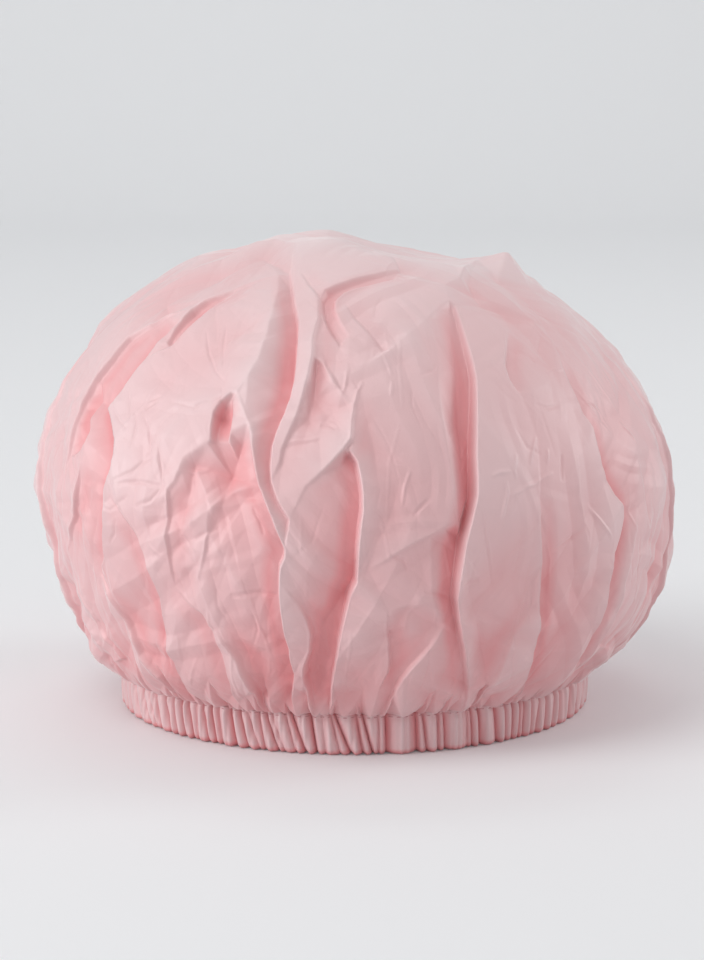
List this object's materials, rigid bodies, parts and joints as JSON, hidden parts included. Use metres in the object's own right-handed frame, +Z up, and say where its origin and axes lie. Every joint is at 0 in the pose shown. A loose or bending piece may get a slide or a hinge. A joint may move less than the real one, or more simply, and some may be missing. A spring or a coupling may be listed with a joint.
{
  "type": "shower cap",
  "caption": "Puffed bouffant shower cap of thin coated cloth, gathered onto an elasticated turned-up hem, standing on its hem.",
  "frame": {"origin": "middle of the hem's foot, in the plane that the cap stands on", "axes": "+Z up through the crown, -Y to the front of the picture, +X to the viewer's right"},
  "size_m": [0.2279, 0.2271, 0.1697],
  "materials": {
    "cap_cloth": "thin coated cloth, pale pink, satin and slightly translucent, crumpled",
    "elastic": "braided elastic, off-white, matt, fine ribs along its length",
    "thread": "spun polyester sewing thread, pink, matt"
  },
  "bodies": {
    "cap": {"crown": "cap_cloth", "hem_casing": "cap_cloth", "hem_needle_thread": "thread", "hem_bobbin_thread": "thread"},
    "elastic": {"elastic_band": "elastic", "elastic_join_thread": "thread"}
  },
  "joints": [
    {"name": "elastic_turn", "type": "hinge", "parent": "cap", "child": "elastic", "pos_m": [0, 0, 0.0056], "axis": [0, 0, 1], "continuous": true}
  ]
}
